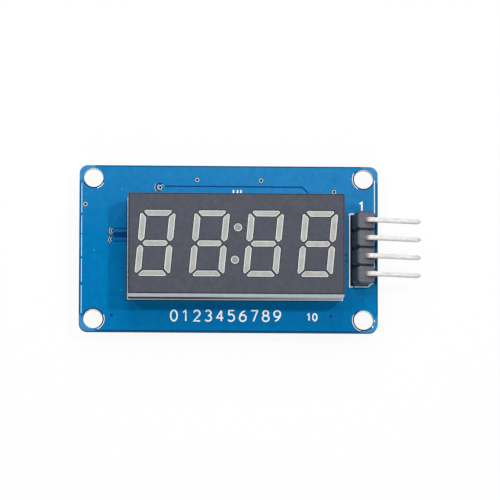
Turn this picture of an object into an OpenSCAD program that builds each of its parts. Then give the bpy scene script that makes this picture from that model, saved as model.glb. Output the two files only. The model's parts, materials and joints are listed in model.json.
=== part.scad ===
// Four digit seven segment display module, face up, in millimetres.
// The origin is the centre of the mounting holes on the back face of the board.
// +X runs towards the header, +Y up the digits and +Z out of the front face.

/* [Circuit board] */
// Length of the board, along the row of digits
board_w = 42; // [41:0.5:60]
// Depth of the board, across the row of digits
board_d = 23.5; // [22:0.5:40]
// Thickness of the board
board_t = 1.6; // [0.8:0.1:2.4]
// Radius of the board's corners
board_corner_r = 1.2; // [0.2:0.1:1.6]
// Diameter of the mounting holes
mounting_hole_d = 2.7; // [2:0.1:3]
// Distance of the mounting holes from the short edges
mounting_inset_x = 2; // [1.8:0.1:3]
// Distance of the mounting holes from the long edges
mounting_inset_y = 1.75; // [1.7:0.05:2.2]
// Bore of a via
via_d = 0.35; // [0.2:0.05:0.5]
// How far the display sits below the line between the mounting holes
display_drop = 0.15; // [0:0.05:0.5]

/* [Display housing] */
// Length of the housing
display_w = 30.2; // [29.6:0.1:30.8]
// Depth of the housing
display_d = 14.2; // [13.4:0.1:15]
// Height of the housing with its printed layer
display_h = 6.8; // [5:0.1:9]
// Gap between the housing and the column of header holes
display_gap = 2.45; // [2:0.05:3.2]
// Wall round the hollow back of the housing
display_wall = 0.9; // [0.6:0.1:1.1]
// Bevel round the front edge
front_bevel = 0.05; // [0.03:0.01:0.2]
// Height of the lip round the foot of the housing
lip_h = 0.5; // [0.3:0.1:1.5]
// How far the lip stands out
lip_out = 0.05; // [0.05:0.01:0.2]
// Height of the shallow groove above the lip
groove_h = 2; // [0.5:0.1:2.5]
// Depth of that groove
groove_depth = 0.1; // [0.05:0.01:0.2]
// Depth of the hollow back, below the block with the light wells
back_hollow = 2.6; // [2.4:0.1:3.2]
// Thickness of the printed layer on the front
face_t = 0.1; // [0.05:0.01:0.2]
// White rim left between the printed layer and the edge of the housing
face_rim = 0.03; // [0.01:0.01:0.2]
// White rim left between the printed layer and each light well
window_rim = 0.08; // [0.02:0.01:0.12]

/* [Digits] */
// Space between the upright wells of neighbouring digits
digit_space = 2.78; // [2.5:0.02:2.9]
// Distance of the digits from the long edges of the housing
digit_margin = 2.54; // [2.2:0.02:2.6]
// Lean of the digits to the right, in degrees
digit_lean = 5.2; // [0:0.1:8]
// Width of the upright wells
upright_w = 0.72; // [0.7:0.02:1]
// Width of the level wells
level_w = 0.66; // [0.6:0.02:0.9]
// Gap between neighbouring wells
well_gap = 0.45; // [0.35:0.01:0.6]
// How far the top and bottom wells end short of the corners
well_end_inset = 0.38; // [0.3:0.02:0.5]
// Radius of the corners of the wells
well_corner_r = 0.12; // [0.05:0.01:0.14]
// Diameter of the wells of the colon
colon_d = 0.98; // [0.8:0.02:1.1]

/* [Display inside] */
// Thickness of the inner board
substrate_t = 1; // [0.8:0.1:1.2]
// Gap round the edges of the inner board, filled by the casting
substrate_gap = 0.35; // [0.2:0.05:0.5]
// Layer of casting between the inner board and the block with the wells
bond_t = 0.35; // [0.3:0.01:0.5]
// How far the back of the casting stays above the circuit board
casting_recess = 0.4; // [0.2:0.05:0.6]
// Side of an LED chip
die_w = 0.3; // [0.2:0.02:0.4]
// Height of an LED chip
die_h = 0.2; // [0.1:0.02:0.25]
// Diameter of the display's pins
led_pin_d = 0.5; // [0.4:0.02:0.6]
// Distance of the pins from the long edges of the housing
led_row_inset = 2.02; // [1.8:0.02:2.2]
// How far the display's pins come out of the back of the circuit board
led_pin_tail = 1.4; // [1:0.1:2]

/* [Header] */
// Distance from one header pin to the next, and between the display's pins
pin_pitch = 2.54; // [2.5:0.01:2.56]
// Distance of the header holes from the short edge of the board
header_inset = 2.54; // [2.3:0.02:3]
// Width of the header's strip
strip_w = 2.54; // [2.2:0.02:2.7]
// Height of the header's strip
strip_h = 2.5; // [2:0.1:3]
// Depth of the notches between the positions of the strip
strip_notch = 0.42; // [0.2:0.02:0.6]
// Bevel round the top of each position of the strip
strip_bevel = 0.2; // [0.1:0.02:0.3]
// Lean of the header towards the edge of the board, in degrees
header_lean = 17; // [2:1:24]
// Side of the square pins
pin_w = 0.64; // [0.5:0.01:0.66]
// Radius of a pin's bend, on its centre line
pin_bend_r = 0.62; // [0.5:0.02:1]
// Length of a pin from the bend's corner to the tip
pin_leg = 7.8; // [5:0.1:12]
// How far the header pins come out of the back of the board
pin_tail = 1.6; // [1.2:0.1:3]
// Length of the taper at both ends of a pin
pin_taper = 0.45; // [0.2:0.05:0.8]
// Width of a pin at its very end
pin_end_w = 0.3; // [0.2:0.02:0.4]

/* [Driver chip] */
// Width of the chip's body
driver_w = 7.5; // [7.2:0.1:7.7]
// Length of the chip's body
driver_l = 12.8; // [12.6:0.1:13.2]
// Thickness of the chip's body
driver_h = 2.3; // [2:0.05:2.5]
// Gap between the chip's body and the board
driver_standoff = 0.1; // [0.05:0.01:0.3]
// Slope of the body's sides, in degrees
driver_draft = 7; // [3:1:12]
// Distance over the tips of the leads
driver_span = 10.3; // [10:0.1:10.6]
// Distance from one lead to the next
driver_pitch = 1.27; // [1.25:0.01:1.28]
// Width of a lead
driver_lead_w = 0.42; // [0.3:0.02:0.5]
// Thickness of a lead
driver_lead_t = 0.25; // [0.15:0.01:0.3]
// Length of a lead's foot
driver_foot = 0.8; // [0.5:0.05:1]
// Gap between the chip's solder and that of the display's pins
driver_gap = 0.8; // [0.5:0.1:1.5]

/* [Chip parts] */
// Length of a chip part
chip_l = 1.6; // [1.4:0.1:2]
// Width of a chip part
chip_w = 0.8; // [0.7:0.05:1.2]
// Height of a chip resistor
resistor_h = 0.45; // [0.35:0.05:0.6]
// Height of a chip capacitor
capacitor_h = 0.8; // [0.6:0.05:1]
// Length of the metal ends
chip_end_l = 0.35; // [0.25:0.05:0.5]
// How far the metal ends stand proud of the middle
chip_end_proud = 0.03; // [0.01:0.01:0.06]
// Distance from one chip part to the next in their row
chip_row_pitch = 2.4; // [2:0.1:2.6]
// Gap between the ends of the driver chip and the chip parts past them
chip_end_gap = 1.2; // [0.8:0.1:1.3]

/* [Soldering] */
// Radius of the solder round a display pin
led_solder_r = 0.75; // [0.65:0.05:0.9]
// Radius of the solder round a header pin
header_solder_r = 0.9; // [0.75:0.05:1]
// Height of the solder round a pin
solder_h = 0.9; // [0.6:0.05:1]
// Thickness of the solder at the top of a joint
solder_film = 0.08; // [0.04:0.01:0.15]
// Clearance between a pin and its hole, measured at a square pin's corners
pin_hole_play = 0.1; // [0.05:0.01:0.15]
// Reach of the solder in front of a lead or a chip part
solder_toe = 0.35; // [0.2:0.05:0.5]

/* [Hidden] */
$fn = 96;

DIGITS = 4;
LED_PINS_PER_ROW = 6;
LED_PINS = 2 * LED_PINS_PER_ROW;
HEADER_PINS = 4;
DRIVER_LEADS_PER_SIDE = 10;
DRIVER_LEADS = 2 * DRIVER_LEADS_PER_SIDE;
CORNER_STEPS = 4;
BEND_STEPS = 8;
SOLDER_STEPS = 4;
// A cut runs this far past the face it opens
PAST = 1;

// Places on the board
mounting_x = board_w / 2 - mounting_inset_x;
mounting_y = board_d / 2 - mounting_inset_y;
header_x = board_w / 2 - header_inset;
display_x = header_x - display_gap - display_w / 2;
display_y = -display_drop;

// Levels inside the display, above the circuit board
shell_h = display_h - face_t;
substrate_top = back_hollow - bond_t;
substrate_z = substrate_top - substrate_t;
cavity_w = display_w - 2 * display_wall;
cavity_d = display_d - 2 * display_wall;

// Holes for the pins
led_hole_d = led_pin_d + 2 * pin_hole_play;
header_hole_d = pin_w * sqrt(2) + 2 * pin_hole_play;

// Vias, by their place along the board and their distance from its upper or lower edge
UPPER_VIAS = [
    [-20, 5.55], [-16.4, 10.45], [-16.3, 9.25], [-9.5, 3.05], [-4.3, 2.05], [4.7, 2.05], [15, 3.65]
];
LOWER_VIAS = [[-16.4, 2.25], [14.4, 2.25]];
via_places = concat(
    [for (via = UPPER_VIAS) [via[0], board_d / 2 - via[1]]],
    [for (via = LOWER_VIAS) [via[0], via[1] - board_d / 2]]
);

// Sizes of a digit, and half sizes on the centre lines of its wells
digit_pitch = display_w / DIGITS;
digit_w = digit_pitch - digit_space;
digit_h = display_d - 2 * digit_margin;
upright_x = (digit_w - upright_w) / 2;
level_y = (digit_h - level_w) / 2;

// Plain geometry

function unit(v) = v / norm(v);

function left_of(v) = [-v[1], v[0]];

// The corner b between a and c, rounded to radius r in n steps
function corner(a, b, c, r, n) =
    let (
        u = unit(a - b),
        v = unit(c - b),
        half = acos(u * v) / 2,
        centre = b + unit(u + v) * r / sin(half),
        from = b + u * r / tan(half) - centre,
        to = b + v * r / tan(half) - centre
    )
    [for (k = [0:n]) centre + r * unit(from * (1 - k / n) + to * k / n)];

// A closed outline with every corner rounded
function rounded_outline(points, r, n) =
    let (last = len(points))
    [
        for (i = [0:last - 1])
            each corner(points[(i + last - 1) % last], points[i], points[(i + 1) % last], r, n)
    ];

// Direction of a path at point i, and how much wider its offset gets there
function path_normal(path, i) =
    let (
        before = i == 0 ? undef : unit(path[i] - path[i - 1]),
        after = i == len(path) - 1 ? undef : unit(path[i + 1] - path[i])
    )
    is_undef(before) ? left_of(after)
    : is_undef(after) ? left_of(before)
    : unit(left_of(before) + left_of(after)) / cos(acos(min(1, before * after)) / 2);

// A strip that follows a path, with its own width at each point
function ribbon(path, widths) =
    let (last = len(path) - 1)
    concat(
        [for (i = [0:last]) path[i] + path_normal(path, i) * widths[i] / 2],
        [for (i = [last:-1:0]) path[i] - path_normal(path, i) * widths[i] / 2]
    );

// A hollow quarter round from [0, height] down to [reach, 0]
function hollow_quarter(reach, height, n) =
    [for (k = [0:n]) [reach * (1 - cos(90 * k / n)), height * (1 - sin(90 * k / n))]];

// Extrudes an outline drawn in X and Z, centred on Y
module extrude_y(depth) {
    translate([0, depth / 2, 0])
        rotate([90, 0, 0])
            linear_extrude(depth)
                children();
}

// Extrudes an outline drawn in Y and Z, centred on X
module extrude_x(depth) {
    translate([-depth / 2, 0, 0])
        rotate([90, 0, 90])
            linear_extrude(depth)
                children();
}

module rounded_rectangle(w, d, r) {
    square([w - 2 * r, d], center = true);
    square([w, d - 2 * r], center = true);
    for (x = [-1, 1], y = [-1, 1])
        translate([x * (w / 2 - r), y * (d / 2 - r)])
            circle(r);
}

// Turns what is drawn upwards to hang under the board
module on_back(x, y, turn = 0) {
    translate([x, y, 0])
        rotate([180, 0, turn])
            children();
}

// Outlines of the wells

function lean(p) = [p[0] + p[1] * tan(digit_lean), p[1]];

// Top or bottom well, grown by e on every side
function level_end_well(side_y, e) =
    let (
        outer = digit_h / 2,
        end = digit_w / 2 - well_end_inset + e * sqrt(2),
        top = outer + e,
        low = outer - level_w - e
    )
    [
        for (p = [[-end - e, top], [end + e, top], [end + low - outer, low], [outer - low - end, low]])
            lean([p[0], side_y * p[1]])
    ];

// Middle well, a flat hexagon
function middle_well(e) =
    let (
        tip = upright_x - well_gap / sqrt(2) + e * sqrt(2),
        high = level_w / 2 + e,
        shoulder = tip - high
    )
    [
        for (p = [[-tip, 0], [-shoulder, high], [shoulder, high], [tip, 0], [shoulder, -high], [-shoulder, -high]])
            lean(p)
    ];

// Upright well, mitred at the digit's corner and pointed at its waist
function upright_well(side_x, side_y, e) =
    let (
        outer = digit_w / 2 + e,
        inner = digit_w / 2 - upright_w - e,
        mitre = digit_h / 2 - digit_w / 2 + well_end_inset - (well_gap - e) * sqrt(2),
        tip = well_gap / sqrt(2) - e * sqrt(2),
        shoulder = tip + upright_w / 2 + e
    )
    [
        for (p = [[outer, outer + mitre], [inner, inner + mitre], [inner, shoulder], [upright_x, tip], [outer, shoulder]])
            lean([side_x * p[0], side_y * p[1]])
    ];

function digit_wells(e) = concat(
    [level_end_well(1, e), level_end_well(-1, e), middle_well(e)],
    [for (x = [-1, 1], y = [-1, 1]) upright_well(x, y, e)]
);

function digit_x(i) = (i - (DIGITS - 1) / 2) * digit_pitch;

// The dots are level with the middles of the upright wells
function colon_dots() = [for (side = [-1, 1]) lean([0, side * digit_h / 4])];

// All wells as flat outlines, grown by e, with rounder corners where they are larger
module well_outlines(e) {
    for (i = [0:DIGITS - 1])
        translate([digit_x(i), 0])
            for (well = digit_wells(e))
                polygon(rounded_outline(well, well_corner_r + e, CORNER_STEPS));
    for (dot = colon_dots())
        translate(dot)
            circle(d = colon_d + 2 * e);
}

// Places that repeat

function led_pin_place(i) =
    let (
        column = (i - 1) % LED_PINS_PER_ROW,
        side = i <= LED_PINS_PER_ROW ? -1 : 1
    )
    [
        display_x + (column - (LED_PINS_PER_ROW - 1) / 2) * pin_pitch,
        display_y + side * (display_d / 2 - led_row_inset)
    ];

function header_pin_place(i) = [header_x, ((HEADER_PINS + 1) / 2 - i) * pin_pitch];

driver_x = display_x - (LED_PINS_PER_ROW - 1) / 2 * pin_pitch
    - led_solder_r - driver_gap - solder_toe - driver_span / 2;

// Chip parts: a column between the display's pins and the header, and one part past each chip end
chip_column_x = (led_pin_place(LED_PINS)[0] + header_x) / 2;
chip_end_y = driver_l / 2 + chip_end_gap + chip_w / 2;
CHIP_PLACES = concat(
    [for (k = [1.5:-1:-1.5]) [chip_column_x, display_y + k * chip_row_pitch]],
    [for (side = [1, -1]) [driver_x, display_y + side * chip_end_y]]
);

// Circuit board

module circuit_board() {
    color([0.09, 0.42, 0.68])
        difference() {
            linear_extrude(board_t)
                rounded_rectangle(board_w, board_d, board_corner_r);
            for (x = [-1, 1], y = [-1, 1])
                board_hole([x * mounting_x, y * mounting_y], mounting_hole_d);
            for (i = [1:LED_PINS])
                board_hole(led_pin_place(i), led_hole_d);
            for (i = [1:HEADER_PINS])
                board_hole(header_pin_place(i), header_hole_d);
            for (place = via_places)
                board_hole(place, via_d);
        }
}

module board_hole(place, d) {
    translate([place[0], place[1], -PAST])
        cylinder(h = board_t + 2 * PAST, d = d);
}

// Display

module at_display(z = 0) {
    translate([display_x, display_y, board_t + z])
        children();
}

// Side view of the housing: a lip at the foot, a groove above it and a bevel at the front
module shell_profile(w) {
    half = w / 2;
    side = [
        [half + lip_out, 0], [half + lip_out, lip_h],
        [half - groove_depth, lip_h], [half - groove_depth, lip_h + groove_h],
        [half, lip_h + groove_h], [half, shell_h - front_bevel], [half - front_bevel, shell_h]
    ];
    polygon(concat(side, [for (k = [len(side) - 1:-1:0]) [-side[k][0], side[k][1]]]));
}

module wells(z, h, e = 0) {
    translate([0, 0, z])
        linear_extrude(h)
            well_outlines(e);
}

module display_shell() {
    color([0.93, 0.93, 0.91])
        at_display()
            difference() {
                intersection() {
                    extrude_y(display_d + 2 * lip_out)
                        shell_profile(display_w);
                    extrude_x(display_w + 2 * lip_out)
                        shell_profile(display_d);
                }
                translate([-cavity_w / 2, -cavity_d / 2, -PAST])
                    cube([cavity_w, cavity_d, back_hollow + PAST]);
                wells(0, display_h + PAST);
            }
}

module display_face() {
    face_w = display_w - 2 * (front_bevel + face_rim);
    face_d = display_d - 2 * (front_bevel + face_rim);
    color([0.3, 0.31, 0.34])
        at_display(shell_h)
            difference() {
                translate([-face_w / 2, -face_d / 2, 0])
                    cube([face_w, face_d, face_t]);
                wells(-PAST, face_t + 2 * PAST, window_rim);
            }
}

// LED chips sit in the middle of each well
module die_shapes() {
    for (i = [0:DIGITS - 1])
        for (y = [-1, 0, 1])
            die_at([digit_x(i), 0] + lean([0, y * level_y]));
    for (i = [0:DIGITS - 1], x = [-1, 1], y = [-1, 1])
        die_at([digit_x(i), 0] + lean([x * upright_x, y * level_y / 2]));
    for (dot = colon_dots())
        die_at(dot);
}

module die_at(place) {
    translate([place[0] - die_w / 2, place[1] - die_w / 2, substrate_top])
        cube([die_w, die_w, die_h]);
}

module substrate_shape() {
    w = cavity_w - 2 * substrate_gap;
    d = cavity_d - 2 * substrate_gap;
    translate([-w / 2, -d / 2, substrate_z])
        cube([w, d, substrate_t]);
}

module display_epoxy() {
    color([0.78, 0.79, 0.76])
        difference() {
            at_display()
                difference() {
                    union() {
                        translate([-cavity_w / 2, -cavity_d / 2, casting_recess])
                            cube([cavity_w, cavity_d, back_hollow - casting_recess]);
                        wells(back_hollow, shell_h - back_hollow);
                    }
                    substrate_shape();
                    die_shapes();
                }
            for (i = [1:LED_PINS])
                display_pin(i);
        }
}

module display_substrate() {
    color([0.75, 0.7, 0.45])
        difference() {
            at_display()
                substrate_shape();
            for (i = [1:LED_PINS])
                display_pin(i);
        }
}

module led_dice() {
    color([0.9, 0.75, 0.35])
        at_display()
            die_shapes();
}

module display_pin(i) {
    place = led_pin_place(i);
    color([0.8, 0.8, 0.78])
        translate([place[0], place[1], -led_pin_tail])
            cylinder(h = led_pin_tail + board_t + substrate_top, d = led_pin_d);
}

// Header

// How far up its own axis the leaning strip starts, so that its lower edge meets the board
strip_start = strip_w / 2 * tan(header_lean);
leg_level = strip_start + strip_h + pin_bend_r;

// A point across and along the leaning axis, in X and Z from the foot of the pin's hole
function leaning(across, along) = [
    across * cos(header_lean) + along * sin(header_lean),
    board_t - across * sin(header_lean) + along * cos(header_lean)
];

module header_body() {
    color([0.1, 0.1, 0.11])
        difference() {
            translate([header_x, 0, board_t])
                rotate([0, header_lean, 0])
                    translate([0, 0, strip_start])
                        intersection() {
                            linear_extrude(strip_h)
                                for (i = [1:HEADER_PINS])
                                    translate([0, header_pin_place(i)[1]])
                                        strip_position();
                            extrude_y(HEADER_PINS * pin_pitch)
                                bevelled_side(strip_w / 2);
                            extrude_x(strip_w)
                                for (i = [1:HEADER_PINS])
                                    translate([header_pin_place(i)[1], 0])
                                        bevelled_side(pin_pitch / 2);
                        }
            for (i = [1:HEADER_PINS])
                header_pin(i);
        }
}

// One position of the strip, a block with its upright edges cut back
module strip_position() {
    half_w = strip_w / 2;
    half_d = pin_pitch / 2;
    side = half_d - strip_notch;
    face = half_w - strip_notch;
    polygon([
        [half_w, -side], [half_w, side], [face, half_d], [-face, half_d],
        [-half_w, side], [-half_w, -side], [-face, -half_d], [face, -half_d]
    ]);
}

// Side view of a position of the strip, bevelled at the top
module bevelled_side(half) {
    inner = half - strip_bevel;
    shoulder = strip_h - strip_bevel;
    polygon([
        [-half, 0], [half, 0], [half, shoulder],
        [inner, strip_h], [-inner, strip_h], [-half, shoulder]
    ]);
}

// A pin is the meeting of its side view, its end view and its plan
module header_pin(i) {
    place = header_pin_place(i);
    bend = corner(leaning(0, 0), leaning(0, leg_level), leaning(pin_leg, leg_level), pin_bend_r, BEND_STEPS);
    path = concat(
        [[0, -pin_tail], [0, pin_taper - pin_tail], [0, board_t]],
        bend,
        [leaning(pin_leg - pin_taper, leg_level), leaning(pin_leg, leg_level)]
    );
    last = len(path) - 1;
    widths = [for (k = [0:last]) k == 0 || k == last ? pin_end_w : pin_w];
    tip_x = leaning(pin_leg, leg_level)[0];
    // The plan runs on past the tip, with the same taper
    past_tip = pin_end_w / 2;
    past_tip_w = pin_end_w - (pin_w - pin_end_w) * past_tip / pin_taper;
    top_z = leaning(-pin_w, leg_level + pin_w)[1];
    color([0.86, 0.84, 0.78])
        translate([place[0], place[1], 0])
            intersection() {
                extrude_y(pin_w)
                    polygon(ribbon(path, widths));
                extrude_x(4 * pin_leg)
                    polygon(ribbon(
                        [[0, -pin_tail], [0, pin_taper - pin_tail], [0, top_z]],
                        [pin_end_w, pin_w, pin_w]
                    ));
                translate([0, 0, -pin_tail - PAST])
                    linear_extrude(pin_tail + top_z + 2 * PAST)
                        polygon(ribbon(
                            [[-pin_w, 0], [tip_x - pin_taper, 0], [tip_x + past_tip, 0]],
                            [pin_w, pin_w, past_tip_w]
                        ));
            }
}

// Driver chip, drawn upwards from the board and turned to its back

driver_mid = driver_standoff + driver_h / 2;
LEAD_ROOT = 0.6;
LEAD_SHOULDER = 0.45;
LEAD_BEND_R = 0.25;

// Side view of the body, widest where its two halves meet
module driver_profile(w) {
    half = w / 2;
    slim = half - driver_h / 2 * tan(driver_draft);
    top = driver_standoff + driver_h;
    polygon([
        [-slim, driver_standoff], [slim, driver_standoff], [half, driver_mid],
        [slim, top], [-slim, top], [-half, driver_mid]
    ]);
}

module driver_body() {
    corner_cut = 0.5;
    color([0.13, 0.13, 0.14])
        difference() {
            on_back(driver_x, display_y)
                difference() {
                    intersection() {
                        extrude_y(driver_l)
                            driver_profile(driver_w);
                        extrude_x(driver_w)
                            driver_profile(driver_l);
                    }
                    driver_mark();
                    translate([-driver_w / 2, 0, driver_standoff + driver_h])
                        rotate([0, 45, 0])
                            cube([corner_cut, 2 * driver_l, corner_cut], center = true);
                }
            for (i = [1:DRIVER_LEADS])
                driver_lead(i);
        }
}

// Round dimple beside the first lead
module driver_mark() {
    mark_d = 1;
    mark_depth = 0.12;
    mark_inset = 1.4;
    translate([mark_inset - driver_w / 2, driver_l / 2 - mark_inset, driver_standoff + driver_h - mark_depth])
        cylinder(h = mark_depth + PAST, d = mark_d);
}

function driver_lead_y(i) =
    ((i - 1) % DRIVER_LEADS_PER_SIDE - (DRIVER_LEADS_PER_SIDE - 1) / 2) * driver_pitch;

// Side view of a lead from inside the body out to its foot
function lead_path() =
    let (
        foot_z = driver_lead_t / 2,
        root = [driver_w / 2 - LEAD_ROOT, driver_mid],
        shoulder = [driver_w / 2 + LEAD_SHOULDER, driver_mid],
        heel = [driver_span / 2 - driver_foot, foot_z],
        toe = [driver_span / 2, foot_z]
    )
    concat(
        [root],
        corner(root, shoulder, heel, LEAD_BEND_R, CORNER_STEPS),
        corner(shoulder, heel, toe, LEAD_BEND_R, CORNER_STEPS),
        [toe]
    );

module driver_lead(i) {
    path = lead_path();
    side = i <= DRIVER_LEADS_PER_SIDE ? 0 : 180;
    color([0.78, 0.78, 0.77])
        on_back(driver_x, display_y)
            rotate([0, 0, side])
                translate([0, driver_lead_y(i), 0])
                    extrude_y(driver_lead_w)
                        polygon(ribbon(path, [for (point = path) driver_lead_t]));
}

// Chip parts, with metal ends a little larger than the middle

module chip_part(h) {
    middle_l = chip_l - 2 * chip_end_l;
    middle_w = chip_w - 2 * chip_end_proud;
    translate([-middle_l / 2, -middle_w / 2, chip_end_proud])
        cube([middle_l, middle_w, h - 2 * chip_end_proud]);
    for (x = [-chip_l / 2, chip_l / 2 - chip_end_l])
        translate([x, -chip_w / 2, 0])
            cube([chip_end_l, chip_w, h]);
}

module resistor(i) {
    color([0.16, 0.16, 0.17])
        on_back(CHIP_PLACES[i - 1][0], CHIP_PLACES[i - 1][1])
            chip_part(resistor_h);
}

module capacitor(i) {
    color([0.62, 0.5, 0.36])
        on_back(CHIP_PLACES[i + 1][0], CHIP_PLACES[i + 1][1])
            chip_part(capacitor_h);
}

// Solder

// Solder that fills a hole and climbs the pin's tail in a hollow cone
module pin_solder(hole_d, r, top_r) {
    cylinder(h = board_t, d = hole_d);
    rotate([180, 0, 0])
        rotate_extrude()
            polygon(concat(
                [[0, 0], [0, solder_h]],
                [for (p = hollow_quarter(r - top_r, solder_h, SOLDER_STEPS)) p + [top_r, 0]]
            ));
}

module display_solder() {
    color([0.8, 0.8, 0.8])
        for (i = [1:LED_PINS])
            difference() {
                translate(led_pin_place(i))
                    pin_solder(led_hole_d, led_solder_r, led_pin_d / 2 + solder_film);
                display_pin(i);
            }
}

module header_solder() {
    color([0.8, 0.8, 0.8])
        for (i = [1:HEADER_PINS])
            difference() {
                translate(header_pin_place(i))
                    pin_solder(header_hole_d, header_solder_r, pin_w * sqrt(2) / 2 + solder_film);
                header_pin(i);
            }
}

// Hollow wedge of solder in front of an upright metal face at x
module solder_wedge(x, w, h) {
    translate([x, 0, 0])
        extrude_y(w)
            polygon(concat([[0, 0]], hollow_quarter(solder_toe, h, SOLDER_STEPS)));
}

module driver_solder() {
    color([0.8, 0.8, 0.8])
        on_back(driver_x, display_y)
            for (i = [1:DRIVER_LEADS])
                rotate([0, 0, i <= DRIVER_LEADS_PER_SIDE ? 0 : 180])
                    translate([0, driver_lead_y(i), 0])
                        solder_wedge(driver_span / 2, driver_lead_w, driver_lead_t);
}

module chip_part_solder() {
    color([0.8, 0.8, 0.8])
        for (place = CHIP_PLACES)
            on_back(place[0], place[1])
                for (side = [0, 180])
                    rotate([0, 0, side])
                        solder_wedge(chip_l / 2, chip_w, resistor_h);
}

circuit_board();
display_shell();
display_face();
display_epoxy();
display_substrate();
led_dice();
for (i = [1:LED_PINS])
    display_pin(i);
header_body();
for (i = [1:HEADER_PINS])
    header_pin(i);
driver_body();
for (i = [1:DRIVER_LEADS])
    driver_lead(i);
for (i = [1:2])
    resistor(i);
for (i = [1:4])
    capacitor(i);
display_solder();
header_solder();
driver_solder();
chip_part_solder();
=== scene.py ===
import json
import math

import bmesh
import bpy
from mathutils import Matrix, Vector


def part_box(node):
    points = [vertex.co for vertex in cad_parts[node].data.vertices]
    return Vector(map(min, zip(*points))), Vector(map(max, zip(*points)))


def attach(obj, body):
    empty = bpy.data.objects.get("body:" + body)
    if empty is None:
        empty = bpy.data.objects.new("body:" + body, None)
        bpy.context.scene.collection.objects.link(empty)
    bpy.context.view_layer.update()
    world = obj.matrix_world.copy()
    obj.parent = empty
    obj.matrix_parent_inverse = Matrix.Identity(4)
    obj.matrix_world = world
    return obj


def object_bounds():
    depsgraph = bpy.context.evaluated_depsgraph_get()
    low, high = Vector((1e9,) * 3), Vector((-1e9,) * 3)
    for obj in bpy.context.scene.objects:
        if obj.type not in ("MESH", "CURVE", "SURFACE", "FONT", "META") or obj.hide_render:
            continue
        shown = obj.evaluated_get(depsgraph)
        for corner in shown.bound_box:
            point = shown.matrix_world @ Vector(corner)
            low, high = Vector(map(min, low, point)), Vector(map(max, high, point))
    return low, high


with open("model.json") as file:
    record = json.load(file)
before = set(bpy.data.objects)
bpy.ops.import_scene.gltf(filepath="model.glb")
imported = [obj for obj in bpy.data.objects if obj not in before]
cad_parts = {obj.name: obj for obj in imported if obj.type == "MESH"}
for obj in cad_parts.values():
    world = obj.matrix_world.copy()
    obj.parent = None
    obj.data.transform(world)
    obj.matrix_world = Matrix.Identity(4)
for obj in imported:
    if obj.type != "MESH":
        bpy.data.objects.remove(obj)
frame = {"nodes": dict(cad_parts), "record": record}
cad_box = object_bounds()
nodes = frame["nodes"]

MM = 0.001

# ---- places, in millimetres in the row frame ----

BOARD_LOW, BOARD_HIGH = (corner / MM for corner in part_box("circuit_board"))
FRONT_Z = BOARD_HIGH.z
BACK_Z = BOARD_LOW.z
DISPLAY_LOW, DISPLAY_HIGH = (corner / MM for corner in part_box("display_shell"))
HEADER_X = (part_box("header_solder")[0].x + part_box("header_solder")[1].x) / 2 / MM
CHIP_LOW, CHIP_HIGH = (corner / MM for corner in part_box("driver_body"))
CHIP_X = (CHIP_LOW.x + CHIP_HIGH.x) / 2
FACE_LOW, FACE_HIGH = (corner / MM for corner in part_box("display_face"))
# The colon's dots lean with the digits, above and below the middle of the display
COLON_X = (FACE_LOW.x + FACE_HIGH.x) / 2
COLON_Y = (FACE_LOW.y + FACE_HIGH.y) / 2
COLON_RISE = 2.28
COLON_LEAN = 0.2075

BOARD_CORNER_R = 1.2
# The copper stops where the distances from the board's two middle lines add up to this
CORNER_REACH = 30.2

# Thin layers: how far each stands out of the board, and how far it is let in
INK_T = 0.025
PAD_T = 0.03
TRACK_T = 0.012
LET_IN = 0.01
# Strokes that cross in one mesh lie this far above one another
STEP_T = 0.001

SILK_W = 0.14
TRACK_W = 0.2

VIA_BORE_R = 0.175
VIA_PLUG_R = 0.172
RINGED_VIAS = [(-20.15, 6.2), (-4.45, 9.75), (4.55, 9.7), (14.85, 8.15)]
LARGE_VIA = (-9.66, 8.67)
COVERED_VIAS = [(-16.25, 2.45), (-16.35, 1.2)]
PLAIN_VIAS = [(-16.4, -9.5), (14.4, -9.5)]
MOUNTING_X = 19
MOUNTING_Y = 10
# Centre of each mounting hole, and the angles of the dark and the white arc beside it
MOUNTING_ARCS = [
    (-MOUNTING_X, MOUNTING_Y, (205, 342), (288, 332)),
    (MOUNTING_X, MOUNTING_Y, (130, 332), (148, 240)),
    (-MOUNTING_X, -MOUNTING_Y, (-55, 158), (-68, 22)),
    (MOUNTING_X, -MOUNTING_Y, (115, 320), (152, 255)),
]


# ---- materials ----

# The grey of the printed face, at the two ends of its mottling
PRINT_DARK = (0.05, 0.053, 0.072)
PRINT_LIGHT = (0.076, 0.081, 0.103)


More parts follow.
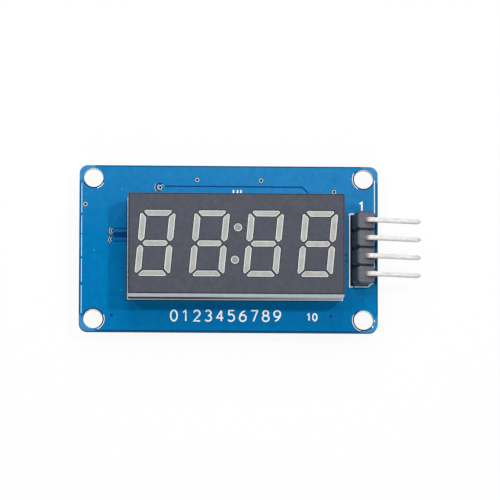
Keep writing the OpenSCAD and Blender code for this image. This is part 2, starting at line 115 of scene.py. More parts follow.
class Tree:
    """A material's node tree, with short ways to add the nodes that the finishes use."""

    def __init__(self, name):
        self.material = bpy.data.materials.new(name)
        self.material.use_nodes = True
        self.tree = self.material.node_tree
        self.tree.nodes.clear()
        self.output = self.add("ShaderNodeOutputMaterial")
        self.shader = self.add("ShaderNodeBsdfPrincipled")
        self.link(self.shader.outputs["BSDF"], self.output.inputs["Surface"])
        self.coords = self.add("ShaderNodeTexCoord")

    def add(self, kind, **settings):
        node = self.tree.nodes.new(kind)
        for key, value in settings.items():
            setattr(node, key, value)
        return node

    def link(self, source, target):
        self.tree.links.new(source, target)

    def set(self, **sockets):
        for key, value in sockets.items():
            self.shader.inputs[key.replace("_", " ")].default_value = value

    def noise(self, scale, detail=3.0, rough=0.55, stretch=None):
        node = self.add("ShaderNodeTexNoise")
        node.inputs["Scale"].default_value = scale
        node.inputs["Detail"].default_value = detail
        node.inputs["Roughness"].default_value = rough
        place = self.coords.outputs["Object"]
        if stretch:
            mapping = self.add("ShaderNodeMapping")
            mapping.inputs["Scale"].default_value = stretch
            self.link(place, mapping.inputs["Vector"])
            place = mapping.outputs["Vector"]
        self.link(place, node.inputs["Vector"])
        return node.outputs["Fac"]

    def ramp(self, source, stops, constant=False):
        node = self.add("ShaderNodeValToRGB")
        if constant:
            node.color_ramp.interpolation = "CONSTANT"
        elements = node.color_ramp.elements
        while len(elements) > 1:
            elements.remove(elements[-1])
        elements[0].position = stops[0][0]
        elements[0].color = (*stops[0][1], 1)
        for place, colour in stops[1:]:
            elements.new(place).color = (*colour, 1)
        self.link(source, node.inputs["Fac"])
        return node.outputs["Color"]

    def scale(self, source, low, high, from_low=0.0, from_high=1.0):
        node = self.add("ShaderNodeMapRange")
        for key, value in (("From Min", from_low), ("From Max", from_high), ("To Min", low), ("To Max", high)):
            node.inputs[key].default_value = value
        self.link(source, node.inputs["Value"])
        return node.outputs["Result"]

    def math(self, operation, first, second=None):
        node = self.add("ShaderNodeMath", operation=operation)
        for socket, value in zip(node.inputs, (first, second)):
            if isinstance(value, (int, float)):
                socket.default_value = value
            elif value is not None:
                self.link(value, socket)
        return node.outputs["Value"]

    def mix(self, factor, first, second):
        node = self.add("ShaderNodeMix", data_type="RGBA")
        self.link(factor, node.inputs["Factor"])
        self.link(first, node.inputs[6])
        self.link(second, node.inputs[7])
        return node.outputs[2]

    def vector(self, operation, source, value=None):
        node = self.add("ShaderNodeVectorMath", operation=operation)
        self.link(source, node.inputs[0])
        if value is not None:
            node.inputs[1].default_value = value
        return node.outputs["Value" if operation in ("LENGTH", "DOT_PRODUCT") else "Vector"]

    def beyond(self, centre, half):
        """Distance outside a box in plan, in metres, from its centre and half size in millimetres."""
        moved = self.vector("SUBTRACT", self.coords.outputs["Object"], (centre[0] * MM, centre[1] * MM, 0))
        away = self.vector("SUBTRACT", self.vector("ABSOLUTE", moved), (half[0] * MM, half[1] * MM, 1))
        return self.vector("LENGTH", self.vector("MAXIMUM", away, (0, 0, 0)))

    def rim(self, width, full=0.93):
        """1 along the sharp edges of level faces and 0 away from them. It is 1 where the rounded
        normal points up no more than full."""
        bevel = self.add("ShaderNodeBevel", samples=6)
        bevel.inputs["Radius"].default_value = width * MM
        node = self.add("ShaderNodeSeparateXYZ")
        self.link(bevel.outputs["Normal"], node.inputs["Vector"])
        return self.scale(node.outputs["Z"], 1.0, 0.0, full, 0.998)

    def axis(self, output, letter):
        node = self.add("ShaderNodeSeparateXYZ")
        self.link(self.coords.outputs[output], node.inputs["Vector"])
        return node.outputs[letter]

    def bump(self, height, painted_shade_strength, strength=1.0):
        node = self.add("ShaderNodeBump")
        node.inputs["Distance"].default_value = painted_shade_strength
        node.inputs["Strength"].default_value = strength
        self.link(height, node.inputs["Height"])
        self.link(node.outputs["Normal"], self.shader.inputs["Normal"])


def finish(name, dark, light, grain, rough, bump_depth, metal=0.0, stretch=None, **sockets):
    """A finish with a mottled colour, uneven gloss and a fine relief of grain size (per metre)."""
    t = Tree(name)
    t.set(Metallic=metal, **sockets)
    t.link(t.ramp(t.noise(grain, stretch=stretch), [(0.3, dark), (0.7, light)]), t.shader.inputs["Base Color"])
    t.link(t.scale(t.noise(grain * 0.6), *rough), t.shader.inputs["Roughness"])
    t.bump(t.noise(grain * 2, stretch=stretch), bump_depth)
    return t


def mask_material():
    """Blue solder mask on both faces, laminate on the edges and in the holes."""
    t = Tree("solder_mask")
    t.set(Specular_IOR_Level=0.02)
    cloud = t.noise(1100, detail=6.0, rough=0.75)
    blue = t.ramp(cloud, [(0.3, (0.0, 0.14, 0.364)), (0.5, (0.0, 0.157, 0.396)), (0.7, (0.001, 0.176, 0.43))])
    # Painted sheen: the mask is painted paler towards one corner, standing in for the haze of a light reflected there
    pale = t.ramp(cloud, [(0.3, (0.011, 0.165, 0.388)), (0.7, (0.02, 0.207, 0.462))])
    corner = t.math("ADD", t.axis("Object", "Y"), t.math("MULTIPLY", t.axis("Object", "X"), 0.25))
    blue = t.mix(t.scale(corner, 0.0, 1.0, -0.003, 0.0115), blue, pale)
    # Specks of dust under the mask
    speck = t.add("ShaderNodeTexVoronoi")
    speck.inputs["Scale"].default_value = 800
    t.link(t.coords.outputs["Object"], speck.inputs["Vector"])
    some = t.add("ShaderNodeSeparateXYZ")
    t.link(speck.outputs["Color"], some.inputs["Vector"])
    few = t.math("MULTIPLY", t.math("GREATER_THAN", some.outputs["X"], 0.86), 0.5)
    dust = t.math("MULTIPLY", t.scale(speck.outputs["Distance"], 1.0, 0.0, 0.03, 0.09), few)
    blue = t.mix(dust, blue, t.ramp(t.noise(900), [(0.3, (0.12, 0.42, 0.66)), (0.7, (0.3, 0.6, 0.8))]))
    upright = t.math("LESS_THAN", t.math("ABSOLUTE", t.axis("Normal", "Z")), 0.5)
    weave = t.ramp(t.noise(9000, detail=2.0, stretch=(1, 1, 6)), [(0.3, (0.84, 0.84, 0.79)), (0.7, (0.94, 0.94, 0.9))])
    rim = t.ramp(t.noise(4000, detail=3.0, stretch=(1, 1, 5)), [(0.3, (0.006, 0.035, 0.08)), (0.7, (0.02, 0.07, 0.12))])
    # The copper ends a little short of the board's edge, and the mask looks dark there
    out = t.beyond((0, 0), (BOARD_HIGH.x - BOARD_CORNER_R, BOARD_HIGH.y - BOARD_CORNER_R))
    bare = t.ramp(t.noise(1500), [(0.3, (0.001, 0.02, 0.08)), (0.7, (0.003, 0.05, 0.15))])
    blue = t.mix(t.scale(out, 0.0, 0.85, (BOARD_CORNER_R - 0.2) * MM, (BOARD_CORNER_R - 0.13) * MM), blue, bare)
    # Without copper under it, the mask is light in the four corners
    light = t.ramp(t.noise(900), [(0.3, (0.032, 0.195, 0.425)), (0.7, (0.05, 0.24, 0.49))])
    reach = t.vector("DOT_PRODUCT", t.vector("ABSOLUTE", t.coords.outputs["Object"]), (1, 1, 0))
    blue = t.mix(t.scale(reach, 0.0, 1.0, CORNER_REACH * MM, (CORNER_REACH + 0.3) * MM), blue, light)
    edge = t.mix(t.math("GREATER_THAN", out, (BOARD_CORNER_R - 0.04) * MM), weave, rim)
    t.link(t.mix(upright, blue, edge), t.shader.inputs["Base Color"])
    gloss = t.scale(t.noise(900), 0.24, 0.34)
    t.link(t.math("ADD", gloss, t.math("MULTIPLY", upright, 0.4)), t.shader.inputs["Roughness"])
    t.bump(t.noise(2200, detail=4.0), 0.000004)
    return t.material


def housing_material():
    """Glossy white plastic, with painted shade in the groove and a painted highlight on the foot. The print of the face
    runs over the bevel round it.
    """
    t = Tree("housing")
    wall = t.ramp(t.noise(500, detail=4.0, stretch=(0.6, 0.6, 3)), [(0.3, (0.78, 0.79, 0.79)), (0.7, (0.88, 0.88, 0.87))])
    height = t.axis("Object", "Z")
    lip_centre = ((DISPLAY_LOW.x + DISPLAY_HIGH.x) / 2, (DISPLAY_LOW.y + DISPLAY_HIGH.y) / 2)
    lip_half = (DISPLAY_HIGH.x - lip_centre[0] - 0.1, DISPLAY_HIGH.y - lip_centre[1] - 0.1)
    # Painted highlight: the foot lip is painted a brighter white than the wall, as if it caught more light
    painted_lit_foot = t.math("LESS_THAN", height, (FRONT_Z + 0.55) * MM)
    painted_lit_foot = t.math("MULTIPLY", painted_lit_foot, t.math("GREATER_THAN", t.beyond(lip_centre, lip_half), 0.0))
    white = t.mix(painted_lit_foot, wall, t.ramp(t.noise(2500), [(0.3, (0.93, 0.94, 0.95)), (0.7, (0.97, 0.98, 0.98))]))
    # Painted shade: the groove is painted dark as the reflection of the shadowed board in the glossy wall, on the long
    # front wall also a little above it, and paler on the other walls
    front = t.math("LESS_THAN", t.axis("Object", "Y"), (DISPLAY_LOW.y + 0.2) * MM)
    below = t.math("LESS_THAN", height, t.scale(front, (FRONT_Z + 2.5) * MM, (FRONT_Z + 3.1) * MM))
    groove_painted_shade = t.math("MULTIPLY", t.math("GREATER_THAN", height, (FRONT_Z + 0.45) * MM), below)
    groove_painted_shade = t.math("MULTIPLY", groove_painted_shade, t.math("SUBTRACT", 1.0, painted_lit_foot))
    groove_painted_shade = t.math("MULTIPLY", groove_painted_shade, t.scale(front, 0.7, 1.0))
    painted_groove_shadow = t.ramp(t.noise(900, stretch=(1, 1, 3)), [(0.3, (0.006, 0.014, 0.022)), (0.7, (0.02, 0.035, 0.05))])
    # The painted shade is darkest at the end away from the header
    painted_shade_strength = t.scale(t.axis("Object", "X"), 0.97, 0.55, -0.005, 0.016)
    white = t.mix(t.math("MULTIPLY", groove_painted_shade, painted_shade_strength), white, painted_groove_shadow)
    out = t.beyond((COLON_X, COLON_Y), ((FACE_HIGH.x - FACE_LOW.x) / 2 - 0.01, (FACE_HIGH.y - FACE_LOW.y) / 2 - 0.01))
    printed = t.math("MULTIPLY", t.math("GREATER_THAN", out, 0.0), t.math("GREATER_THAN", height, (FACE_LOW.z - 0.07) * MM))
    dark = t.ramp(t.noise(1500, detail=6.0, rough=0.75), [(0.3, PRINT_DARK), (0.7, PRINT_LIGHT)])
    t.link(t.mix(printed, white, dark), t.shader.inputs["Base Color"])
    t.link(t.math("SUBTRACT", 0.5, t.math("MULTIPLY", groove_painted_shade, 0.5)), t.shader.inputs["Specular IOR Level"])
    t.link(t.scale(t.noise(900), 0.1, 0.2), t.shader.inputs["Roughness"])
    t.bump(t.noise(3000), 0.000002)
    return t.material


def face_material():
    """Matt grey print, with painted shade that darkens it along its edges."""
    t = Tree("face_print")
    t.set(Specular_IOR_Level=0.12)
    print_colour = t.ramp(t.noise(1500, detail=6.0, rough=0.75), [(0.3, PRINT_DARK), (0.7, PRINT_LIGHT)])
    # Painted shade: near black along the edges of the face, where shadow lines fall
    painted_edge_shade = t.ramp(t.noise(7000), [(0.3, (0.005, 0.005, 0.006)), (0.7, (0.01, 0.01, 0.012))])
    t.link(t.mix(t.rim(0.26, 0.96), print_colour, painted_edge_shade), t.shader.inputs["Base Color"])
    t.link(t.scale(t.noise(3000), 0.5, 0.62), t.shader.inputs["Roughness"])
    t.bump(t.noise(9000), 0.000005)
    return t.material


def casting_material():
    """Milky resin, paler where the white walls of the wells show through, greyer in the colon's dots."""
    t = Tree("casting")
    t.set(Subsurface_Weight=0.1, Subsurface_Scale=0.0003, Specular_IOR_Level=0.2)
    cloud = t.noise(1300, detail=4.0, stretch=(1, 0.5, 1))
    milk = t.ramp(cloud, [(0.3, (0.335, 0.335, 0.318)), (0.7, (0.435, 0.435, 0.417))])
    pale = t.ramp(t.noise(3000), [(0.3, (0.56, 0.56, 0.54)), (0.7, (0.66, 0.66, 0.64))])
    dim = t.ramp(t.noise(2500), [(0.3, (0.22, 0.225, 0.23)), (0.7, (0.285, 0.29, 0.295))])
    dots = None
    for side in (-1, 1):
        away = t.beyond((COLON_X + side * COLON_LEAN, COLON_Y + side * COLON_RISE), (0, 0))
        near = t.math("LESS_THAN", away, 0.0008)
        dots = near if dots is None else t.math("ADD", dots, near)
    colour = t.mix(t.rim(0.16), t.mix(dots, milk, dim), pale)
    t.link(colour, t.shader.inputs["Base Color"])
    t.link(t.scale(t.noise(1500), 0.3, 0.42), t.shader.inputs["Roughness"])
    t.bump(t.noise(3200), 0.000006)
    return t.material


def strip_material():
    """Black moulded plastic, painted lighter on top and darker on its sides, as light and shade."""
    t = Tree("strip")
    t.set(Specular_IOR_Level=0.35)
    # Painted light and shade: the sides get a darker copy of the plastic and the top a lighter one, for how the light
    # falls
    side = t.ramp(t.noise(4000), [(0.3, (0.014, 0.02, 0.03)), (0.7, (0.04, 0.054, 0.072))])
    top = t.ramp(t.noise(2600, detail=5.0), [(0.3, (0.072, 0.077, 0.1)), (0.7, (0.122, 0.128, 0.155))])
    painted_light_on_top = t.scale(t.axis("Normal", "Z"), 0.0, 1.0, 0.75, 0.93)
    t.link(t.mix(painted_light_on_top, side, top), t.shader.inputs["Base Color"])
    t.link(t.scale(t.noise(3000), 0.3, 0.45), t.shader.inputs["Roughness"])
    t.bump(t.noise(7000), 0.000008)
    return t.material


def chip_part_material(name, dark, light):
    """A chip part: glazed or ceramic middle, tinned at both ends."""
    t = Tree(name)
    along = t.axis("Generated", "X")
    middle = t.math("MULTIPLY", t.math("GREATER_THAN", along, 0.22), t.math("LESS_THAN", along, 0.78))
    body = t.ramp(t.noise(7000), [(0.3, dark), (0.7, light)])
    tin = t.ramp(t.noise(5000), [(0.3, (0.62, 0.62, 0.6)), (0.7, (0.78, 0.78, 0.76))])
    t.link(t.mix(middle, tin, body), t.shader.inputs["Base Color"])
    t.link(t.math("SUBTRACT", 1.0, middle), t.shader.inputs["Metallic"])
    t.link(t.scale(t.noise(3000), 0.28, 0.45), t.shader.inputs["Roughness"])
    t.bump(t.noise(9000), 0.000006)
    return t.material


def header_pin_material():
    """Bright tin with fine drawing marks along the pins, painted darker and warmer where they are bent and duller on
    their lower side, as shade.
    """
    t = Tree("header_pins")
    t.set(Metallic=1.0)
    tin = t.ramp(t.noise(2600, stretch=(0.15, 1, 1)), [(0.3, (0.53, 0.525, 0.505)), (0.7, (0.71, 0.705, 0.685))])
    # Painted shade: where the pins are bent the curve is painted darker and warmer, for the light it reflects less
    painted_bend_shade = t.ramp(t.noise(4000), [(0.3, (0.32, 0.28, 0.255)), (0.7, (0.46, 0.42, 0.385))])
    bend = t.scale(t.axis("Object", "X"), 0.8, 0.0, 0.0199, 0.021)
    painted_lower_shade = t.ramp(t.noise(3000, stretch=(0.2, 1, 1)), [(0.3, (0.2, 0.2, 0.195)), (0.7, (0.34, 0.34, 0.33))])
    # Painted shade: the lower side is painted duller, for the darker reflection on that side
    lower_side_shade_mask = t.scale(t.axis("Generated", "Y"), 0.8, 0.0, 0.0, 0.45)
    t.link(t.mix(lower_side_shade_mask, t.mix(bend, tin, painted_bend_shade), painted_lower_shade), t.shader.inputs["Base Color"])
    gloss = t.scale(t.noise(3000, stretch=(0.2, 1, 1)), 0.22, 0.4)
    t.link(t.math("ADD", gloss, t.math("MULTIPLY", bend, 0.35)), t.shader.inputs["Roughness"])
    t.bump(t.noise(5000, stretch=(0.12, 1, 1)), 0.000006)
    return t.material


slot_materials = {
    "solder_mask": mask_material(),
    "housing": housing_material(),
    "face_print": face_material(),
    "casting": casting_material(),
    "inner_board": finish(
        "inner_board", (0.5, 0.45, 0.25), (0.62, 0.57, 0.36), 3000, (0.5, 0.65), 0.000006).material,
    "led_chip": finish(
        "led_chip", (0.65, 0.42, 0.12), (0.8, 0.58, 0.22), 6000, (0.2, 0.35), 0.000003).material,
    "display_pins": finish(
        "display_pins", (0.62, 0.62, 0.6), (0.76, 0.76, 0.74), 4000, (0.25, 0.42), 0.000005, metal=1.0,
        stretch=(1, 1, 0.2)).material,
    "header_pins": header_pin_material(),
    "strip": strip_material(),
    "chip_body": finish(
        "chip_body", (0.018, 0.018, 0.02), (0.034, 0.034, 0.036), 9000, (0.5, 0.68), 0.000015).material,
    "leads": finish(
        "leads", (0.6, 0.6, 0.59), (0.72, 0.72, 0.71), 5000, (0.3, 0.45), 0.000005, metal=1.0,
        stretch=(0.3, 1, 1)).material,
    "resistor": chip_part_material("resistor", (0.03, 0.03, 0.034), (0.05, 0.05, 0.055)),
    "capacitor": chip_part_material("capacitor", (0.36, 0.26, 0.16), (0.46, 0.35, 0.22)),
    "solder": finish(
        "solder", (0.62, 0.62, 0.61), (0.78, 0.78, 0.77), 3000, (0.18, 0.36), 0.000012, metal=1.0).material,
}
ink = finish(
    "ink", (0.9, 0.9, 0.9), (0.98, 0.98, 0.98), 7000, (0.5, 0.65), 0.000004, Specular_IOR_Level=0.3).material
channel = finish(
    "channel", (0.0, 0.03, 0.15), (0.0, 0.05, 0.2), 2500, (0.28, 0.38), 0.000004,
    Specular_IOR_Level=0.05).material
dark_gap_and_painted_shadow = finish(
    "dark_gap_and_painted_shadow", (0.0, 0.004, 0.014), (0.001, 0.012, 0.035), 2500, (0.3, 0.4), 0.000004,
    Specular_IOR_Level=0.1).material
plating = finish(
    "plating", (0.5, 0.56, 0.53), (0.68, 0.71, 0.67), 6000, (0.4, 0.55), 0.000004, Specular_IOR_Level=0.3).material
# Near black, as painted shade for the via bores
via_shade_plug = finish(
    "via_shade_plug", (0.004, 0.005, 0.006), (0.009, 0.01, 0.012), 6000, (0.5, 0.7), 0.000006, Specular_IOR_Level=0.2).material
covered_track = finish(
    "covered_track", (0.006, 0.19, 0.47), (0.015, 0.23, 0.53), 2500, (0.26, 0.36), 0.000004,
    Specular_IOR_Level=0.25).material

for row in frame["record"]["subparts"]:
    slots = nodes[row["node"]].data.materials
    slots.clear()
    slots.append(slot_materials[row["material_slot"]])


# ---- thin printed and plated pieces ----

def prism(bm, left, right, low, high):
    """A closed strip between two rows of plan points, from level low to level high, in millimetres."""
    rows = [
        [bm.verts.new((x * MM, y * MM, z * MM)) for x, y in side]
        for z in (low, high) for side in (left, right)
    ]
    ll, lr, hl, hr = rows
    for k in range(len(left) - 1):
        bm.faces.new((hl[k], hr[k], hr[k + 1], hl[k + 1]))
        bm.faces.new((ll[k], ll[k + 1], lr[k + 1], lr[k]))
        bm.faces.new((ll[k], hl[k], hl[k + 1], ll[k + 1]))
        bm.faces.new((lr[k], lr[k + 1], hr[k + 1], hr[k]))
    return ll, lr, hl, hr


def strip(bm, points, width, low, high):
    """A strip of constant width along a path, mitred at its corners, closed at both ends."""
    left, right = [], []
    last = len(points) - 1
    for k, (x, y) in enumerate(points):
        before = direction(points[k - 1], points[k]) if k else None
        after = direction(points[k], points[k + 1]) if k < last else None
        u, v = before or after, after or before
        nx, ny = -(u[1] + v[1]), u[0] + v[0]
        size = math.hypot(nx, ny)
        reach = width / 2 * min(2 / size, 1.6)
        nx, ny = nx / size * reach, ny / size * reach
        left.append((x + nx, y + ny))
        right.append((x - nx, y - ny))
    ll, lr, hl, hr = prism(bm, left, right, low, high)
    bm.faces.new((ll[0], lr[0], hr[0], hl[0]))
    bm.faces.new((ll[-1], hl[-1], hr[-1], lr[-1]))


def direction(a, b):
    size = math.hypot(b[0] - a[0], b[1] - a[1])
    return (b[0] - a[0]) / size, (b[1] - a[1]) / size


def round_points(x, y, rx, ry, start, end, steps):
    """Points on an ellipse from angle start to angle end, in degrees."""
    angles = [math.radians(start + (end - start) * k / steps) for k in range(steps + 1)]
    return [(x + rx * math.cos(a), y + ry * math.sin(a)) for a in angles]


def ring(bm, x, y, inner, outer, low, high, steps=32):
    """A closed flat ring round a hole."""
    left = round_points(x, y, outer, outer, 0, 360, steps)[:-1]
    right = round_points(x, y, inner, inner, 0, 360, steps)[:-1]
    ll, lr, hl, hr = prism(bm, left, right, low, high)
    bm.faces.new((hl[-1], hr[-1], hr[0], hl[0]))
    bm.faces.new((ll[-1], ll[0], lr[0], lr[-1]))
    bm.faces.new((ll[-1], hl[-1], hl[0], ll[0]))
    bm.faces.new((lr[-1], lr[0], hr[0], hr[-1]))


def piece(name, material, draw):
    """Makes one piece of the object from what draw(bm) puts into a mesh."""
    bm = bmesh.new()
    draw(bm)
    bmesh.ops.recalc_face_normals(bm, faces=bm.faces)
    mesh = bpy.data.meshes.new(name)
    bm.to_mesh(mesh)
    bm.free()
    mesh.materials.append(material)
    obj = bpy.data.objects.new(name, mesh)
    bpy.context.scene.collection.objects.link(obj)
    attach(obj, "root")
    return obj


def on_front(thickness):
    return FRONT_Z - LET_IN, FRONT_Z + thickness


def on_back(thickness):
    return BACK_Z - thickness, BACK_Z + LET_IN


# Plain numerals as strokes in a box 0.6 wide and 1 high
NUMERALS = {
    "0": [round_points(0.3, 0.5, 0.3, 0.5, 90, 449, 24)],
    "1": [[(0.1, 0.8), (0.34, 1), (0.34, 0)]],
    "2": [round_points(0.3, 0.72, 0.28, 0.28, 165, -30, 12) + [(0.02, 0), (0.6, 0)]],
    "3": [
        round_points(0.28, 0.76, 0.26, 0.24, 150, -88, 14),
        round_points(0.28, 0.26, 0.3, 0.26, 88, -150, 14),
    ],
    "4": [[(0.44, 0), (0.44, 1)], [(0.44, 0.98), (0.02, 0.3), (0.62, 0.3)]],
    "5": [[(0.56, 1), (0.1, 1), (0.06, 0.56)], round_points(0.27, 0.32, 0.31, 0.32, 132, -145, 16)],
    "6": [
        round_points(0.3, 0.3, 0.3, 0.3, 90, 449, 20),
        [(0.5, 0.98), (0.24, 0.84), (0.07, 0.6), (0.01, 0.34)],
    ],
    "7": [[(0, 1), (0.6, 1), (0.22, 0)]],
    "8": [
        round_points(0.3, 0.76, 0.24, 0.24, 90, 449, 20),
        round_points(0.3, 0.27, 0.3, 0.27, 90, 449, 20),
    ],
    "9": [
        round_points(0.3, 0.7, 0.3, 0.3, 90, 449, 20),
        [(0.1, 0.02), (0.36, 0.16), (0.53, 0.4), (0.59, 0.66)],
    ],
}


def numeral(bm, sign, x, y, height, line, levels):
    low, high = levels
    for k, stroke in enumerate(NUMERALS[sign]):
        points = [(x + px * height, y + py * height) for px, py in stroke]
        strip(bm, points, line, low, high + k * STEP_T)


def front_ink(bm):
    low, high = on_front(INK_T)
    header_left = HEADER_X - 1.43
    paths = [
        [(20.35, -10.85), (20.2, -11.05)],
        [(18.2, 5.04), (header_left, 5.04), (header_left, -5.3), (17.5, -5.3)],
        [(17.72, -5.3), (19.64, -5.3), (20.06, -4.83), (20.3, -4.83)],
    ]
    for path in paths:
        strip(bm, path, SILK_W, low, high)
    # The outline is cut back to a thin line with breaks along the board's two short edges
    left_breaks = ((9.2, 5.0), (4.6, 2.1), (1.9, -1.2), (-1.5, -4.8), (-5.3, -9.24))
    right_breaks = ((9.83, 5.2), (2.4, 1.6), (-0.2, -0.9), (-1.8, -3.0), (-3.6, -4.4), (-10.0, -10.25))
    for x, width, breaks in ((-20.66, 0.06, left_breaks), (20.53, 0.1, right_breaks)):
        for top, bottom in breaks:
            strip(bm, [(x, top), (x, bottom)], width, low, high)
    for x, y, dark, white in MOUNTING_ARCS:
        strip(bm, round_points(x, y, 1.58, 1.58, *white, 24), 0.08, low, high)
    # Three short strokes that the display's front hides in part
    for x in (0.66, 1.24, 1.72):
        strip(bm, [(x, 8.33), (x, 7.6)], 0.2, low, high)
    numerals_left, numerals_right, numerals_y = -8.1, 7.3, -10.25
    height = 1.5
    pitch = (numerals_right - numerals_left - 0.6 * height) / 9
    for k in range(10):
        numeral(bm, str(k), numerals_left + k * pitch, numerals_y, height, 0.21, (low, high))
    for k, sign in enumerate("10"):
        numeral(bm, sign, 11.0 + 0.85 * k, -10.1, 0.95, 0.2, (low, high))
    numeral(bm, "1", 18.35, 5.5, 1.2, 0.26, (low, high))


def front_channels(bm):
    """Channels between the copper areas, seen dark through the mask."""
    low, high = on_front(TRACK_T)
    display_left = DISPLAY_LOW.x + 0.3
    display_right = DISPLAY_HIGH.x - 0.3
    for path, width in (
        ([(-8.95, 8.83), (10.35, 8.8), (12.2, 6.9)], 0.19),
        ([(-16.2, 2.78), (display_left, 2.78)], 0.14),
        ([(-16.2, 1.88), (display_left, 1.88)], 0.76),
        ([(-16.2, 0.98), (display_left, 0.98)], 0.14),
        ([(display_right, -0.73), (HEADER_X - 1.7, -0.73)], 0.22),
        ([(display_right, -1.67), (HEADER_X - 1.7, -1.67)], 0.22),
    ):
        strip(bm, path, width, low, high)
    for x, y in PLAIN_VIAS:
        ring(bm, x, y, 0.1, 0.2, low, high)


def front_dark_lines_and_painted_shadows(bm):
    """Bare rings round vias, dark arcs beside the mounting holes and thin dark lines, with painted shade: dark discs
    over the via bores, a contact shadow along the display's foot and a shadow beside the header.
    """
    low, high = on_front(TRACK_T)
    for x, y in COVERED_VIAS:
        strip(bm, round_points(x, y, 0.4, 0.4, 95, 265, 12), 0.13, low, high)
        strip(bm, round_points(x, y, 0.63, 0.63, 130, 240, 12), 0.07, low, high)
    strip(bm, round_points(*LARGE_VIA, 0.56, 0.56, 40, 275, 12), 0.15, low, high)
    for x, y, dark, white in MOUNTING_ARCS:
        strip(bm, round_points(x, y, 1.445, 1.445, *dark, 32), 0.17, low, high)
    for x, y in RINGED_VIAS + [LARGE_VIA]:
        # Painted shade: a dark disc over each via's bore, for the shade down the hole, and a bare ring round it
        ring(bm, x, y, 0.06, 0.215, low, high)
        ring(bm, x, y, 0.29, 0.35, low, high)
    # Painted shadow: a dark seam along the display's foot, where its contact shadow falls
    left, front = DISPLAY_LOW.x - 0.07, DISPLAY_LOW.y - 0.07
    strip(bm, [(left, DISPLAY_HIGH.y), (left, front), (DISPLAY_HIGH.x - 0.4, front)], 0.13, low, high)
    # Painted shadow of the header strip between its outline and its body, and thin dark lines beside the header's
    # outline and beside the right-hand line
    for x, width in ((HEADER_X - 1.1, 0.5), (HEADER_X - 1.56, 0.1), (20.71, 0.17)):
        strip(bm, [(x, 4.85), (x, -5.1)], width, low, high)


def front_rings(bm):
    low, high = on_front(PAD_T)
    for x, y in RINGED_VIAS:
        ring(bm, x, y, 0.205, 0.295, low, high)
    x, y = LARGE_VIA
    ring(bm, x, y, 0.205, 0.29, low, high)
    strip(bm, round_points(x, y, 0.4, 0.4, 120, 300, 12), 0.06, low, high)
    strip(bm, round_points(x, y, 0.52, 0.52, 25, 55, 4), 0.07, low, high)
    strip(bm, round_points(x, y, 0.76, 0.76, 140, 225, 10), 0.06, low, high)
    for x, y in COVERED_VIAS:
        strip(bm, round_points(x, y, 0.27, 0.27, 100, 260, 12), 0.09, low, high)
        strip(bm, round_points(x, y, 0.54, 0.54, 130, 240, 12), 0.08, low, high)


def plugs(bm, places):
    """Round plugs that close vias, a little below both faces of the board."""
    for x, y in places:
        outline = round_points(x, y, VIA_PLUG_R, VIA_PLUG_R, 0, 360, 24)[:-1]
        bottom, top = (
            [bm.verts.new((px * MM, py * MM, z * MM)) for px, py in outline]
            for z in (BACK_Z + 0.03, FRONT_Z - 0.03)
        )
        bm.faces.new(top)
        bm.faces.new(bottom[::-1])
        for k in range(len(top)):
            bm.faces.new((bottom[k - 1], bottom[k], top[k], top[k - 1]))


# Painted shade: near-black plugs fill the open vias, standing in for the shade down their bores
def dark_plugs(bm):
    plugs(bm, RINGED_VIAS + [LARGE_VIA] + COVERED_VIAS)


def mask_plugs(bm):
    plugs(bm, PLAIN_VIAS)


def lead_places():
    """Centre of each lead's foot on the back of the board, with the side it points to."""
    for k in range(1, 21):
        low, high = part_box(f"driver_lead_{k}")
        x = (low.x + high.x) / 2 / MM
        side = -1 if x < CHIP_X else 1
        tip = (low.x if side < 0 else high.x) / MM
        yield tip, (low.y + high.y) / 2 / MM, side


def pin_places(prefix, count):
    for k in range(1, count + 1):
        low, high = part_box(f"{prefix}_{k}")
        yield (low.x + high.x) / 2 / MM, (low.y + high.y) / 2 / MM


def chip_part_places():
    for name in [f"resistor_{k}" for k in (1, 2)] + [f"capacitor_{k}" for k in (1, 2, 3, 4)]:
        low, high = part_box(name)
        yield (low.x + high.x) / 2 / MM, (low.y + high.y) / 2 / MM


def back_pads(bm):
    low, high = on_back(PAD_T)
    for x, y, side in lead_places():
        strip(bm, [(x - side * 1.0, y), (x + side * 0.55, y)], 0.6, low, high)
    for x, y in chip_part_places():
        for side in (-1, 1):
            strip(bm, [(x + side * 0.42, y), (x + side * 1.3, y)], 1.0, low, high)
    for x, y in pin_places("display_pin", 12):
        ring(bm, x, y, 0.4, 0.84, low, high)
    for y in (3.81, 1.27, -1.27, -3.81):
        ring(bm, HEADER_X, y, 0.56, 1.0, low, high)
    for x, y in RINGED_VIAS + [LARGE_VIA]:
        ring(bm, x, y, VIA_BORE_R + 0.01, 0.36, low, high)


def back_ink(bm):
    low, high = on_back(INK_T)
    left, right = CHIP_LOW.x + 0.5, CHIP_HIGH.x - 0.5
    bottom, top = CHIP_LOW.y - 0.3, CHIP_HIGH.y + 0.3
    strip(bm, [(left, top), (left, bottom), (right, bottom), (right, top), (left, top + STEP_T)], 0.16, low, high)
    for x, y in chip_part_places():
        for side in (-1, 1):
            strip(bm, [(x - 1.2, y + side * 0.74), (x + 1.2, y + side * 0.74)], 0.14, low, high)
    header_left, header_right = HEADER_X - 1.33, HEADER_X + 1.33
    strip(
        bm,
        [(header_left, 5.2), (header_left, -5.2), (header_right, -5.2), (header_right, 5.2), (header_left, 5.2 + STEP_T)],
        0.16, low, high)


